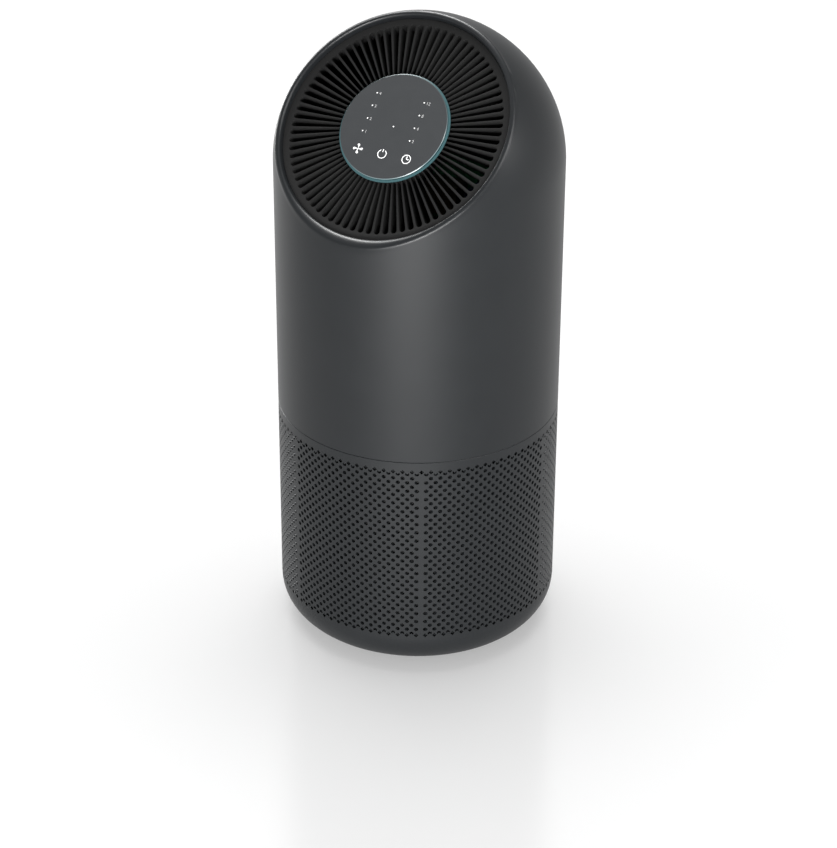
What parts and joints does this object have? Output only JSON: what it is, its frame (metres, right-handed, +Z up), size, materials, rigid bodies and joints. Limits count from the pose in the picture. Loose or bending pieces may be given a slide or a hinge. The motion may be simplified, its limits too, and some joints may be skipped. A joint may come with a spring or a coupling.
{
  "type": "air purifier",
  "caption": "Tower air purifier: perforated inlet cup with a filter, capsule-shaped upper unit with a fan, and a slanted round outlet with a radial grille and a touch disc.",
  "frame": {"origin": "on the floor under the middle of the tower", "axes": "+Z up along the tower, the slanted outlet faces -Y, +X to the right seen from the front"},
  "size_m": [0.2, 0.2, 0.4533],
  "materials": {
    "charcoal_shell": "fine satin moulded texture",
    "black_plastic": "satin black",
    "grey_plastic": "moulded, unpainted",
    "filter_cap": "moulded",
    "filter_paper": "pleated fibre paper",
    "carbon": "carbon cloth",
    "net": "fine net",
    "rubber": "moulded",
    "teal_light_guide": "translucent",
    "touch_glass": "smoked, satin",
    "circuit_board": "solder mask",
    "led": "clear",
    "steel": "plated",
    "zinc_plate": "zinc plated",
    "stator_iron": "laminated",
    "magnet": "coated",
    "transformer": "tape wrapped",
    "capacitor": "sleeved"
  },
  "bodies": {
    "inlet_cup": {"inlet_sleeve": "charcoal_shell", "rubber_feet": "rubber", "filter_bottom_cap": "filter_cap", "filter_top_cap": "filter_cap", "filter_media": "filter_paper", "carbon_layer": "carbon", "prefilter_net": "net", "filter_gasket": "rubber"},
    "upper_unit": {"upper_housing": "charcoal_shell", "outlet_grille": "black_plastic", "control_cup": "black_plastic", "light_ring": "teal_light_guide", "touch_glass": "touch_glass", "control_board": "circuit_board", "indicator_leds": "led", "key_contacts": "rubber", "control_screws": "steel", "fan_deck": "black_plastic", "inlet_guard": "black_plastic", "fan_casing": "grey_plastic", "deck_screws": "steel", "diffuser": "grey_plastic", "motor_can": "zinc_plate", "motor_end_cap": "zinc_plate", "motor_bearings": "steel", "motor_stator": "stator_iron", "motor_grommets": "rubber", "motor_screws": "steel", "power_board": "circuit_board", "power_transformer": "transformer", "power_capacitors": "capacitor", "board_screws": "steel", "dust_sensor": "black_plastic", "power_socket": "black_plastic", "socket_pin": "steel"},
    "fan": {"impeller": "grey_plastic", "hub_nut": "steel", "motor_rotor": "magnet", "motor_shaft": "steel"}
  },
  "joints": [
    {"name": "upper_twist", "type": "hinge", "parent": "inlet_cup", "child": "upper_unit", "pos_m": [0, 0, 0.173], "axis": [0, 0, 1], "range_deg": [0, 20]},
    {"name": "fan_spin", "type": "hinge", "parent": "upper_unit", "child": "fan", "pos_m": [0, 0, 0.225], "axis": [0, 0, 1], "continuous": true}
  ]
}
